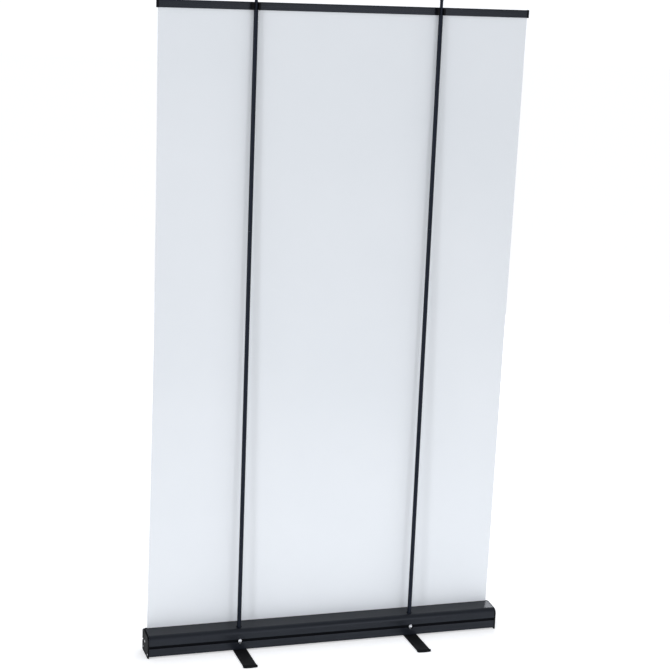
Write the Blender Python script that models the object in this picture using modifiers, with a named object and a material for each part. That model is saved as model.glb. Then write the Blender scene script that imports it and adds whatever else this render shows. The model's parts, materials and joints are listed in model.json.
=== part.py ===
"""Roll-up banner stand: a spring-loaded film cassette on two swivel feet, two plug-in poles and a top rail.

Metres, +Z up. The floor is z = 0, and the origin lies midway between the feet's pivots.
The printed side of the film faces -Y; the poles stand behind it, towards +Y.
"left" is the -X side and "right" the +X side.
"""
import math

import bmesh
import bpy
from mathutils import Matrix, Vector

# ---------------------------------------------------------------- driving dimensions
GAP = 0.0003                # air left between two pieces that touch
OVERCUT = 0.010             # how far a cutter runs past the piece that it cuts

FILM_WIDTH = 1.200
FILM_DROP = 2.000           # film seen between the case and the rail
FILM_THICK = 0.0004
FILM_TUCK = 0.019           # film held inside the rail

CASE_DEPTH = 0.087
CASE_HEIGHT = 0.073
CASE_WALL = 0.0022
CASE_END_MARGIN = 0.006     # case beyond each edge of the film
CASE_LIFT = 0.0055          # case underside above the floor
CASE_REAR_RADIUS = 0.018
CASE_REAR_DROP = 0.0045     # fall of the top from the slot to the rear corner
CASE_FRONT_DROP = 0.003
CASE_FRONT_RADIUS = 0.012
CASE_HEEL_RADIUS = 0.0015   # lower rear corner
CASE_TOE_RADIUS = 0.004     # lower front corner
SLOT_FROM_FRONT = 0.017     # film plane behind the case's front face
SLOT_FRONT_HALF = 0.003
SLOT_REAR_HALF = 0.006
GROOVE_HEIGHT = 0.0095
GROOVE_DEPTH = 0.003
GROOVE_CENTRE = 0.0316      # above the case's underside
BOSS_SIZE = 0.009           # square screw channels in the lower corners
CAP_THICK = 0.005
CAP_PROUD = 0.0008
CAP_FLOOR_GAP = 0.0006
CAP_SCREW_RADIUS = 0.0018
CAP_SCREW_LENGTH = 0.016
CAP_SCREW_POINT = 0.002
CAP_SCREW_HEAD_RADIUS = 0.0032
CAP_SCREW_HEAD_HEIGHT = 0.0019
CAP_SCREW_SINK = 0.0024
CAP_SCREW_SINK_RADIUS = 0.0036
HUB_RADIUS = 0.0095         # boss on the cap round the roller's axis
HUB_ROOT = 0.001            # how deep the boss runs into the cap
HUB_CLEARANCE = 0.0005      # between the boss and the roller's end
PILE_DEPTH = 0.005
PILE_PROUD = 0.0008

ROLLER_RADIUS = 0.0142
ROLLER_WALL = 0.0012
ROLLER_HEIGHT = 0.040       # axis above the floor
ROLLER_END_GAP = 0.0015
LEADER_THICK = 0.0008       # turns of film left on the roller
PLUG_LENGTH = 0.022
PIN_RADIUS = 0.004
SHAFT_SIZE = 0.007          # square spring shaft
SHAFT_LENGTH = 0.175
SPRING_RADIUS = 0.0083
SPRING_WIRE = 0.0014
SPRING_TURNS = 12
SPRING_TURN_STEPS = 10
ANCHOR_LENGTH = 0.012
ANCHOR_CLEARANCE = 0.0008
ANCHOR_FROM_SHAFT_END = 0.004
SHAFT_RECESS = 0.001        # shaft and pin ends below the caps' outer faces
PIN_SHORT_OF_PLUG = 0.002

POLE_SPACING = 0.600
POLE_RADIUS = 0.0069
POLE_WALL = 0.0010
POLE_BEHIND_FILM = 0.046    # at the case
POLE_SECTIONS = 3
FERRULE_LENGTH = 0.110
FERRULE_WALL = 0.0010
PEG_RADIUS = 0.0050
PEG_INSIDE = 0.060
PEG_ABOVE_RAIL = 0.034
PEG_CAP_DOME = 0.0040
PEG_CAP_WALL = 0.0010
PEG_CAP_SKIRT = 0.006
SOCKET_WIDTH = 0.024
SOCKET_SEAT = 0.0440        # pole's foot above the floor
SOCKET_BASE = 0.0245
SOCKET_FRONT_WALL = 0.0022
HOLE_CLEARANCE = 0.0005
POLE_FOOT_FLANGE = 0.002
POLE_FOOT_INSIDE = 0.020
PEG_COLLAR_HEIGHT = 0.0012
PEG_COLLAR_STEP = 0.0008
SCREW_HEIGHT = 0.0330
SCREW_SHANK_RADIUS = 0.0022
SCREW_SHANK_LENGTH = 0.014
SCREW_SHANK_ROOM = 0.0005
SCREW_HEAD_RADIUS = 0.0060
SCREW_POCKET_RADIUS = 0.0078

RAIL_HEIGHT = 0.024
RAIL_HALF_DEPTH = 0.0050
RAIL_OVERHANG = 0.004       # rail with its end caps beyond each edge of the film
RAIL_CAP_THICK = 0.006
CLIP_WIDTH = 0.026
CLIP_BEHIND_FILM = 0.0145   # pole's axis behind the film at the rail
CLIP_ARM = 0.0075           # fork arms behind the pole's axis
CLIP_INSET = 0.0005         # clip's ends within the rail's height
RAIL_CAP_PROUD = 0.0008
RAIL_CAP_OVER = 0.0006      # rail end caps above and below the rail
RAIL_BEAD_HEIGHT = 0.0115   # middle of the shallow line along the rail
RAIL_BEAD_HALF = 0.0010
RAIL_BEAD_DEPTH = 0.0008

FOOT_WIDTH = 0.046
FOOT_THICK = 0.0036
FOOT_LENGTH = 0.370         # over both tips
FOOT_BAR_LIFT = 0.0008
TIP_LENGTH = 0.014
TIP_THICK = 0.0052
TIP_WALL = 0.0010
TIP_INSERT = 0.009
PIVOT_RADIUS = 0.003
PIVOT_HEAD_RADIUS = 0.0062
PIVOT_HEAD_DEPTH = 0.0026
PIVOT_BOLT_REACH = 0.0068   # bolt above the case's floor
SPACER_RADIUS = 0.011
WASHER_RADIUS = 0.0065
WASHER_THICK = 0.0012
NUT_RADIUS = 0.0058
NUT_HEIGHT = 0.004
TIP_NOSE = 0.006

# ---------------------------------------------------------------- worked out from them
SIDES = (("left", -1), ("right", 1))
CASE_LENGTH = FILM_WIDTH + 2 * CASE_END_MARGIN
CASE_FRONT = -CASE_DEPTH / 2
CASE_REAR = CASE_DEPTH / 2
CASE_TOP = CASE_LIFT + CASE_HEIGHT
FILM_Y = CASE_FRONT + SLOT_FROM_FRONT
FILM_LEAN = math.asin((POLE_BEHIND_FILM - CLIP_BEHIND_FILM) / FILM_DROP)
FILM_FOOT = Vector((0, FILM_Y, CASE_TOP))
POLE_X = POLE_SPACING / 2
POLE_Y = FILM_Y + POLE_BEHIND_FILM
FERRULE_RADIUS = POLE_RADIUS - POLE_WALL - GAP
ROLL_RADIUS = ROLLER_RADIUS + GAP + LEADER_THICK
ROLLER_Y = FILM_Y + FILM_THICK / 2 + GAP + ROLL_RADIUS
ROLLER_HALF = CASE_LENGTH / 2 - ROLLER_END_GAP
POLE_TOP = CASE_TOP + FILM_DROP * math.cos(FILM_LEAN) - GAP
RAIL_TOP = CASE_TOP + (FILM_DROP + RAIL_HEIGHT) * math.cos(FILM_LEAN)
INNER_REAR = CASE_REAR - CASE_WALL
GROOVE_INNER = INNER_REAR - GROOVE_DEPTH
CASE_FLOOR = CASE_LIFT + CASE_WALL
BOLT_SEAT = CASE_FLOOR + GAP

LYING_ALONG_X = (math.pi / 2, 0, math.pi / 2)   # local X, Y, Z point along +Y, +Z, +X


# ---------------------------------------------------------------- scene and materials
for leftover in list(bpy.data.objects):
    bpy.data.objects.remove(leftover, do_unlink=True)

stand = bpy.data.collections.new("roll_up_banner_stand")
cutters = bpy.data.collections.new("cutters")
for group in (stand, cutters):
    bpy.context.scene.collection.children.link(group)


def make_material(name, colour, roughness, metallic=0.0):
    """A plain Principled finish."""
    material = bpy.data.materials.new(name)
    material.use_nodes = True
    shader = material.node_tree.nodes["Principled BSDF"]
    shader.inputs["Base Color"].default_value = (*colour, 1)
    shader.inputs["Roughness"].default_value = roughness
    shader.inputs["Metallic"].default_value = metallic
    material.diffuse_color = (*colour, 1)
    return material


BLACK_ALUMINIUM = make_material("black_anodised", (0.022, 0.023, 0.027), 0.42, 0.5)
BLACK_PLASTIC = make_material("black_plastic", (0.020, 0.020, 0.022), 0.55)
BLACK_PAINT = make_material("black_powder_coat", (0.018, 0.018, 0.020), 0.5)
ZINC = make_material("zinc_plate", (0.72, 0.73, 0.75), 0.3, 1.0)
RAW_ALUMINIUM = make_material("mill_aluminium", (0.60, 0.61, 0.63), 0.35, 1.0)
SPRING_STEEL = make_material("spring_steel", (0.25, 0.25, 0.27), 0.4, 1.0)
PILE = make_material("black_pile", (0.010, 0.010, 0.011), 0.95)
FILM = make_material("white_film", (0.80, 0.83, 0.88), 0.5)


# ---------------------------------------------------------------- shape helpers
def add_object(name, mesh, material=None, collection=stand):
    """A new object of this mesh, in the stand's collection or the cutters'."""
    made = bpy.data.objects.new(name, mesh)
    collection.objects.link(made)
    if material:
        mesh.materials.append(material)
    if collection is cutters:
        made.hide_render = True
        made.display_type = "WIRE"
    return made


def finish(made, parent=None):
    """Shades a piece smooth between its sharp edges and hangs it on its joint's empty."""
    made.data.shade_smooth()
    made.data.set_sharp_from_angle(angle=math.radians(35))
    if parent:
        made.parent = parent
        made.matrix_parent_inverse = parent.matrix_basis.inverted()
    return made


def make_box(name, low, high, material=None, collection=stand):
    """A box between two corners."""
    size = Vector(high) - Vector(low)
    shape = bmesh.new()
    bmesh.ops.create_cube(shape, size=1, matrix=Matrix.Diagonal((*size, 1)))
    mesh = bpy.data.meshes.new(name)
    shape.to_mesh(mesh)
    shape.free()
    made = add_object(name, mesh, material, collection)
    made.location = (Vector(low) + Vector(high)) / 2
    return made


def make_cylinder(name, radius, start, end, material=None, sides=24, top=None, collection=stand):
    """A cylinder, or a cone that ends at radius top, from one point to another."""
    start, end = Vector(start), Vector(end)
    shape = bmesh.new()
    bmesh.ops.create_cone(shape, cap_ends=True, segments=sides, radius1=radius,
                          radius2=radius if top is None else top, depth=(end - start).length)
    mesh = bpy.data.meshes.new(name)
    shape.to_mesh(mesh)
    shape.free()
    made = add_object(name, mesh, material, collection)
    made.location = (start + end) / 2
    made.rotation_euler = (end - start).to_track_quat("Z", "Y").to_euler()
    return made


def make_turned(name, profile, place, material, closed=False, sides=24, lying=False):
    """A profile of (radius, height) points, given top to bottom, turned about its axis."""
    shape = bmesh.new()
    points = [shape.verts.new((radius, 0, height)) for radius, height in profile]
    for first, second in zip(points, points[1:]):
        shape.edges.new((first, second))
    if closed:
        shape.edges.new((points[-1], points[0]))
    mesh = bpy.data.meshes.new(name)
    shape.to_mesh(mesh)
    shape.free()
    made = add_object(name, mesh, material)
    turn = made.modifiers.new("turn", "SCREW")
    turn.steps = turn.render_steps = sides
    turn.use_merge_vertices = True
    turn.merge_threshold = 0.00001
    made.location = place
    if lying:
        made.rotation_euler = LYING_ALONG_X
    return made


def make_tube(name, radius, wall, place, length, material, sides=24, lying=False):
    """A straight tube that starts at a place and runs up, or along +X when lying."""
    profile = [(radius, length), (radius, 0), (radius - wall, 0), (radius - wall, length)]
    return make_turned(name, profile, place, material, closed=True, sides=sides, lying=lying)


def bake(made):
    """Turns a curve, or an object with modifiers, into a plain mesh object."""
    bpy.context.view_layer.update()
    mesh = bpy.data.meshes.new_from_object(made.evaluated_get(bpy.context.evaluated_depsgraph_get()))
    shape = bmesh.new()
    shape.from_mesh(mesh)
    bmesh.ops.remove_doubles(shape, verts=shape.verts, dist=0.00001)
    shape.to_mesh(mesh)
    shape.free()
    name, collection, place = made.name, made.users_collection[0], made.matrix_world.copy()
    bpy.data.objects.remove(made)
    baked = add_object(name, mesh, None, collection)
    baked.matrix_world = place
    return baked


def round_outline(corners, arc_steps=5):
    """Points of an outline given as (y, z, radius) corners, each radius turned into an arc."""
    points = []
    count = len(corners)
    for index, (y, z, radius) in enumerate(corners):
        here = Vector((y, z))
        if not radius:
            points.append(here)
            continue
        back = (Vector(corners[index - 1][:2]) - here).normalized()
        ahead = (Vector(corners[(index + 1) % count][:2]) - here).normalized()
        half = back.angle(ahead) / 2
        centre = here + (back + ahead).normalized() * radius / math.sin(half)
        reach = radius / math.tan(half)
        first, last = here + back * reach - centre, here + ahead * reach - centre
        sweep = first.angle_signed(last)
        for step in range(arc_steps + 1):
            turn = Matrix.Rotation(-sweep * step / arc_steps, 2)
            points.append(centre + turn @ first)
    return points


def make_extrusion(name, outline, x_centre, length, material, collection=stand):
    """An outline in the Y-Z plane, extruded along X."""
    curve = bpy.data.curves.new(name, "CURVE")
    curve.dimensions = "2D"
    curve.fill_mode = "BOTH"
    curve.extrude = length / 2
    spline = curve.splines.new("POLY")
    spline.points.add(len(outline) - 1)
    for point, place in zip(spline.points, outline):
        point.co = (*place, 0, 1)
    spline.use_cyclic_u = True
    drawn = bpy.data.objects.new(name, curve)
    collection.objects.link(drawn)
    drawn.location = (x_centre, 0, 0)
    drawn.rotation_euler = LYING_ALONG_X
    baked = bake(drawn)
    baked.name = name
    if material:
        baked.data.materials.append(material)
    return baked


def make_empty(name, place, turn=(0, 0, 0)):
    """An empty on a joint's axis."""
    made = bpy.data.objects.new(name, None)
    stand.objects.link(made)
    made.location = place
    made.rotation_euler = turn
    bpy.context.view_layer.update()
    return made


def apply_boolean(target, tool, operation):
    """Adds an exact Boolean with this tool to the target."""
    step = target.modifiers.new(operation.lower(), "BOOLEAN")
    step.operation = operation
    step.solver = "EXACT"
    step.object = tool


def cut_round(target, radius, start, end, sides=24):
    """Bores a round hole through the target."""
    tool = make_cylinder(f"{target.name}_bore", radius, start, end, sides=sides, collection=cutters)
    apply_boolean(target, tool, "DIFFERENCE")


def join_to(target, tool):
    """Unites a second solid with the target."""
    stand.objects.unlink(tool)
    cutters.objects.link(tool)
    tool.hide_render = True
    tool.display_type = "WIRE"
    apply_boolean(target, tool, "UNION")


# ---------------------------------------------------------------- cassette
def case_corners(inset, bottom):
    """Corners of the case's outline, moved in by inset, in (y, z, radius)."""
    rear, front = CASE_REAR - inset, CASE_FRONT + inset
    top = CASE_TOP - inset
    return [
        (rear, top - CASE_REAR_DROP, CASE_REAR_RADIUS - inset),
        (rear, bottom, CASE_HEEL_RADIUS),
        (front, bottom, CASE_TOE_RADIUS - inset),
        (front, top - CASE_FRONT_DROP, CASE_FRONT_RADIUS - inset),
    ]


def case_outline():
    """The extrusion's closed outline: the outer skin, then back along the inner one."""
    slot_rear, slot_front = FILM_Y + SLOT_REAR_HALF, FILM_Y - SLOT_FRONT_HALF
    groove_top = CASE_LIFT + GROOVE_CENTRE + GROOVE_HEIGHT / 2
    groove_low = groove_top - GROOVE_HEIGHT
    shoulder, heel, toe, brow = case_corners(0, CASE_LIFT)
    outer = [(slot_rear, CASE_TOP, 0), shoulder]
    outer += [(CASE_REAR, groove_top, 0), (CASE_REAR - GROOVE_DEPTH, groove_top, 0)]
    outer += [(CASE_REAR - GROOVE_DEPTH, groove_low, 0), (CASE_REAR, groove_low, 0)]
    outer += [heel, toe, brow, (slot_front, CASE_TOP, 0)]
    shoulder, heel, toe, brow = case_corners(CASE_WALL, CASE_FLOOR)
    inner = [(slot_front, CASE_TOP - CASE_WALL, 0), brow]
    inner += [(toe[0], CASE_FLOOR + BOSS_SIZE, 0), (toe[0] + BOSS_SIZE, CASE_FLOOR + BOSS_SIZE, 0)]
    inner += [(toe[0] + BOSS_SIZE, CASE_FLOOR, 0), (heel[0] - BOSS_SIZE, CASE_FLOOR, 0)]
    inner += [(heel[0] - BOSS_SIZE, CASE_FLOOR + BOSS_SIZE, 0), (heel[0], CASE_FLOOR + BOSS_SIZE, 0)]
    inner += [(heel[0], groove_low - CASE_WALL, 0), (GROOVE_INNER, groove_low - CASE_WALL, 0)]
    inner += [(GROOVE_INNER, groove_top + CASE_WALL, 0), (heel[0], groove_top + CASE_WALL, 0)]
    inner += [shoulder, (slot_rear, CASE_TOP - CASE_WALL, 0)]
    return round_outline(outer + inner)


def screw_channels():
    """Centres of the two screw channels, in (y, z)."""
    reach = CASE_WALL + BOSS_SIZE / 2
    return (CASE_FRONT + reach, CASE_LIFT + reach), (CASE_REAR - reach, CASE_LIFT + reach)


def make_case():
    """The extruded shell, with holes for the poles, their screws, the pivots and the caps' screws."""
    case = make_extrusion("cassette_body", case_outline(), 0, CASE_LENGTH, BLACK_ALUMINIUM)
    for _, side in SIDES:
        x = side * POLE_X
        cut_round(case, POLE_RADIUS + HOLE_CLEARANCE, (x, POLE_Y, CASE_TOP - 2 * OVERCUT),
                  (x, POLE_Y, CASE_TOP + OVERCUT))
        cut_round(case, SCREW_POCKET_RADIUS, (x, GROOVE_INNER - CASE_WALL, SCREW_HEIGHT),
                  (x, CASE_REAR + OVERCUT, SCREW_HEIGHT))
        cut_round(case, PIVOT_RADIUS + GAP, (x, 0, 0), (x, 0, CASE_FLOOR + CASE_WALL), sides=16)
        for y, z in screw_channels():
            end = side * CASE_LENGTH / 2
            cut_round(case, CAP_SCREW_RADIUS + GAP, (end - side * CAP_SCREW_LENGTH, y, z),
                      (end + side * OVERCUT, y, z), sides=12)
    return finish(case)


def make_wipers():
    """Two bars of pile that close the slot on either side of the film."""
    low = CASE_TOP - PILE_DEPTH
    skin = FILM_THICK / 2
    for name, near, far in (("front", -SLOT_FRONT_HALF, -skin), ("rear", skin, SLOT_REAR_HALF)):
        finish(make_box(f"wiper_pile_{name}", (-FILM_WIDTH / 2, FILM_Y + near + GAP, low),
                        (FILM_WIDTH / 2, FILM_Y + far - GAP, CASE_TOP + PILE_PROUD), PILE))


def make_end_cap(word, side):
    """A cap plate to the floor, with a hub round the roller's axis."""
    bottom = CAP_FLOOR_GAP
    inner = side * (CASE_LENGTH / 2 + GAP)
    outer = inner + side * CAP_THICK
    cap = make_extrusion(f"end_cap_{word}", round_outline(case_corners(-CAP_PROUD, bottom)),
                         (inner + outer) / 2, CAP_THICK, BLACK_PLASTIC)
    tip, root = side * (ROLLER_HALF + HUB_CLEARANCE), inner + side * HUB_ROOT
    hub = make_cylinder(f"end_cap_{word}_hub", HUB_RADIUS, (tip, ROLLER_Y, ROLLER_HEIGHT),
                        (root, ROLLER_Y, ROLLER_HEIGHT))
    join_to(cap, hub)
    inside, outside = inner - side * OVERCUT, outer + side * OVERCUT
    if word == "left":
        cut_round(cap, PIN_RADIUS + GAP, (inside, ROLLER_Y, ROLLER_HEIGHT),
                  (outside, ROLLER_Y, ROLLER_HEIGHT), 16)
    else:
        half = SHAFT_SIZE / 2 + GAP
        keyway = make_box("end_cap_right_keyway", (inside, ROLLER_Y - half, ROLLER_HEIGHT - half),
                          (outside, ROLLER_Y + half, ROLLER_HEIGHT + half), collection=cutters)
        apply_boolean(cap, keyway, "DIFFERENCE")
    for end, (y, z) in zip(("front", "rear"), screw_channels()):
        cut_round(cap, CAP_SCREW_RADIUS + GAP, (inside, y, z), (outside, y, z), 12)
        cut_round(cap, CAP_SCREW_SINK_RADIUS, (outer - side * CAP_SCREW_SINK, y, z), (outside, y, z), 16)
        seat = outer - side * (CAP_SCREW_SINK - GAP)
        make_cap_screw(f"cap_screw_{word}_{end}", (seat, y, z), side)
    return finish(cap)


def make_cap_screw(name, seat, side):
    """A domed screw that holds an end cap in one of the case's channels."""
    head, shank = CAP_SCREW_HEAD_RADIUS, CAP_SCREW_RADIUS
    crown = CAP_SCREW_HEAD_HEIGHT
    tip = CAP_SCREW_LENGTH - CAP_SCREW_POINT / 2
    profile = [(0, crown), (0.75 * head, 0.9 * crown), (head, 0.42 * crown), (head, 0)]
    profile += [(shank, 0), (shank, -(tip - CAP_SCREW_POINT)), (0, -tip)]
    screw = make_turned(name, profile, seat, ZINC, sides=12)
    screw.rotation_euler = (0, side * math.pi / 2, 0)
    finish(screw)


# ---------------------------------------------------------------- roller and spring
def make_roller():
    """The film roller: it turns on a pin on the left and round the spring shaft on the right."""
    axis = make_empty("roller_axis", (0, ROLLER_Y, ROLLER_HEIGHT))
    start = (-ROLLER_HALF, ROLLER_Y, ROLLER_HEIGHT)
    finish(make_tube("roller_tube", ROLLER_RADIUS, ROLLER_WALL, start, 2 * ROLLER_HALF, RAW_ALUMINIUM,
                     lying=True), axis)
    start = (-FILM_WIDTH / 2, ROLLER_Y, ROLLER_HEIGHT)
    finish(make_tube("leader_turns", ROLL_RADIUS, LEADER_THICK, start, FILM_WIDTH, FILM, sides=32,
                     lying=True), axis)
    plug_radius = ROLLER_RADIUS - ROLLER_WALL - GAP
    shaft_corner = SHAFT_SIZE / math.sqrt(2)
    for word, side, bore in (("left", -1, PIN_RADIUS + GAP), ("right", 1, shaft_corner + GAP)):
        edge = side * ROLLER_HALF
        low = min(edge, edge - side * PLUG_LENGTH)
        finish(make_tube(f"roller_plug_{word}", plug_radius, plug_radius - bore,
                         (low, ROLLER_Y, ROLLER_HEIGHT), PLUG_LENGTH, BLACK_PLASTIC, lying=True), axis)


def make_spring_drive():
    """The pin and the square shaft that the caps hold, and the torsion spring on the shaft."""
    cap_outer = CASE_LENGTH / 2 + GAP + CAP_THICK - SHAFT_RECESS
    pin_end = -ROLLER_HALF + PLUG_LENGTH - PIN_SHORT_OF_PLUG
    finish(make_cylinder("idle_pin", PIN_RADIUS, (-cap_outer, ROLLER_Y, ROLLER_HEIGHT),
                         (pin_end, ROLLER_Y, ROLLER_HEIGHT), ZINC, sides=16))
    half = SHAFT_SIZE / 2
    inner_end = cap_outer - SHAFT_LENGTH
    finish(make_box("spring_shaft", (inner_end, ROLLER_Y - half, ROLLER_HEIGHT - half),
                    (cap_outer, ROLLER_Y + half, ROLLER_HEIGHT + half), ZINC))
    anchor_low = inner_end + ANCHOR_FROM_SHAFT_END
    anchor = make_cylinder("spring_anchor", ROLLER_RADIUS - ROLLER_WALL - ANCHOR_CLEARANCE,
                           (anchor_low, ROLLER_Y, ROLLER_HEIGHT),
                           (anchor_low + ANCHOR_LENGTH, ROLLER_Y, ROLLER_HEIGHT), BLACK_PLASTIC)
    bore = half + GAP
    keyway = make_box("spring_anchor_keyway", (inner_end - OVERCUT, ROLLER_Y - bore, ROLLER_HEIGHT - bore),
                      (anchor_low + ANCHOR_LENGTH + OVERCUT, ROLLER_Y + bore, ROLLER_HEIGHT + bore),
                      collection=cutters)
    apply_boolean(anchor, keyway, "DIFFERENCE")
    finish(anchor)

    curve = bpy.data.curves.new("torsion_spring", "CURVE")
    curve.dimensions = "3D"
    curve.bevel_depth = SPRING_WIRE / 2
    curve.bevel_resolution = 1
    curve.resolution_u = curve.render_resolution_u = 1
    curve.use_fill_caps = True
    first = anchor_low + ANCHOR_LENGTH + SPRING_WIRE / 2 + GAP
    last = ROLLER_HALF - PLUG_LENGTH - SPRING_WIRE / 2 - GAP
    count = SPRING_TURNS * SPRING_TURN_STEPS
    spline = curve.splines.new("POLY")
    spline.points.add(count)
    for index, point in enumerate(spline.points):
        angle = 2 * math.pi * index / SPRING_TURN_STEPS
        point.co = (first + (last - first) * index / count, ROLLER_Y + SPRING_RADIUS * math.cos(angle),
                    ROLLER_HEIGHT + SPRING_RADIUS * math.sin(angle), 1)
    spring = bpy.data.objects.new("torsion_spring", curve)
    stand.objects.link(spring)
    spring = bake(spring)
    spring.name = "torsion_spring"
    spring.data.materials.append(SPRING_STEEL)
    finish(spring)


# ---------------------------------------------------------------- film and rail
def make_film():
    """One sheet from the roller through the slot, then leaning back to the rail."""
    curve = bpy.data.curves.new("banner_film", "CURVE")
    curve.dimensions = "3D"
    curve.extrude = FILM_WIDTH / 2
    curve.resolution_u = curve.render_resolution_u = 1
    spline = curve.splines.new("POLY")
    drop = FILM_DROP + FILM_TUCK
    top = FILM_FOOT + drop * Vector((0, math.sin(FILM_LEAN), math.cos(FILM_LEAN)))
    places = (Vector((0, FILM_Y, ROLLER_HEIGHT)), FILM_FOOT, top)
    spline.points.add(len(places) - 1)
    for point, place in zip(spline.points, places):
        point.co = (place.y, place.z, 0, 1)
    sheet = bpy.data.objects.new("banner_film", curve)
    stand.objects.link(sheet)
    sheet.rotation_euler = LYING_ALONG_X
    sheet = bake(sheet)
    sheet.name = "banner_film"
    sheet.data.materials.append(FILM)
    wall = sheet.modifiers.new("thickness", "SOLIDIFY")
    wall.thickness = FILM_THICK
    wall.offset = 0
    wall.use_even_offset = True
    finish(sheet)


def place_on_film(made):
    """Moves a piece drawn upright at the slot on to the leaning film plane."""
    bpy.context.view_layer.update()
    lean = Matrix.Translation(FILM_FOOT) @ Matrix.Rotation(-FILM_LEAN, 4, "X")
    made.matrix_world = lean @ made.matrix_world
    bpy.context.view_layer.update()
    return made


def rail_half(side):
    """Outline of the rail's front (-1) or rear (1) half, in (behind, up)."""
    near = FILM_THICK / 2 + GAP
    far = RAIL_HALF_DEPTH
    low, high = FILM_DROP, FILM_DROP + RAIL_HEIGHT
    line = low + RAIL_BEAD_HEIGHT
    floor = far - RAIL_BEAD_DEPTH
    slope = RAIL_BEAD_HALF / 2
    corners = [(near, low, 0), (far - 2 * slope, low, 0), (far, low + 2 * RAIL_BEAD_HALF, 0)]
    corners += [(far, line - RAIL_BEAD_HALF - slope, 0), (floor, line - slope, 0)]
    corners += [(floor, line + slope, 0), (far, line + RAIL_BEAD_HALF + slope, 0)]
    corners += [(far, high, 0.7 * far), (near, high, 0)]
    return [(side * point[0], point[1]) for point in round_outline(corners, 4)]


def make_rail():
    """Two extruded halves that grip the film's top edge, with a cap on each end and two clips."""
    slider = make_empty("rail_slide_axis", FILM_FOOT, (-FILM_LEAN, 0, 0))
    length = FILM_WIDTH + 2 * (RAIL_OVERHANG - RAIL_CAP_THICK) - 2 * GAP
    for word, side in (("front", -1), ("rear", 1)):
        half = make_extrusion(f"rail_{word}", rail_half(side), 0, length, BLACK_ALUMINIUM)
        finish(place_on_film(half), slider)
    edge = RAIL_HALF_DEPTH + RAIL_CAP_PROUD
    low, high = FILM_DROP - RAIL_CAP_OVER, FILM_DROP + RAIL_HEIGHT + RAIL_CAP_OVER
    foot_radius, brow_radius = 0.35 * edge, 0.7 * edge
    outline = round_outline([(-edge, low, foot_radius), (-edge, high, brow_radius),
                             (edge, high, brow_radius), (edge, low, foot_radius)])
    for word, side in SIDES:
        outer = FILM_WIDTH / 2 + RAIL_OVERHANG
        inner = outer - RAIL_CAP_THICK
        cap = make_extrusion(f"rail_end_{word}", outline, side * (outer + inner) / 2, RAIL_CAP_THICK,
                             BLACK_PLASTIC)
        place_on_film(cap)
        near, far = sorted((side * (inner - OVERCUT), side * (FILM_WIDTH / 2 + GAP)))
        film_slot = make_box(f"rail_end_{word}_slot", (near, -FILM_THICK / 2 - GAP, low - OVERCUT),
                             (far, FILM_THICK / 2 + GAP, FILM_DROP + FILM_TUCK + GAP), collection=cutters)
        apply_boolean(cap, place_on_film(film_slot), "DIFFERENCE")
        finish(cap, slider)
        make_clip(word, side * POLE_X, slider)


def make_clip(word, x, slider):
    """A fork on the rail's rear face; its mouth is wide enough for the pole to pass."""
    near = RAIL_HALF_DEPTH + GAP
    far = CLIP_BEHIND_FILM + CLIP_ARM
    mouth = POLE_RADIUS + HOLE_CLEARANCE
    low, high = FILM_DROP + CLIP_INSET, FILM_DROP + RAIL_HEIGHT - CLIP_INSET
    outline = round_outline([(near, low, 0), (far, low, 0.002), (far, high, 0.004), (near, high, 0.001)], 3)
    clip = make_extrusion(f"rail_clip_{word}", outline, x, CLIP_WIDTH, BLACK_PLASTIC)
    place_on_film(clip)
    down, up = POLE_TOP - OVERCUT, RAIL_TOP + OVERCUT
    cut_round(clip, mouth, (x, POLE_Y, down), (x, POLE_Y, up))
    opening = make_box(f"rail_clip_{word}_mouth", (x - mouth, POLE_Y, down),
                       (x + mouth, POLE_Y + CLIP_ARM + OVERCUT, up), collection=cutters)
    apply_boolean(clip, opening, "DIFFERENCE")
    finish(clip, slider)


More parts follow.
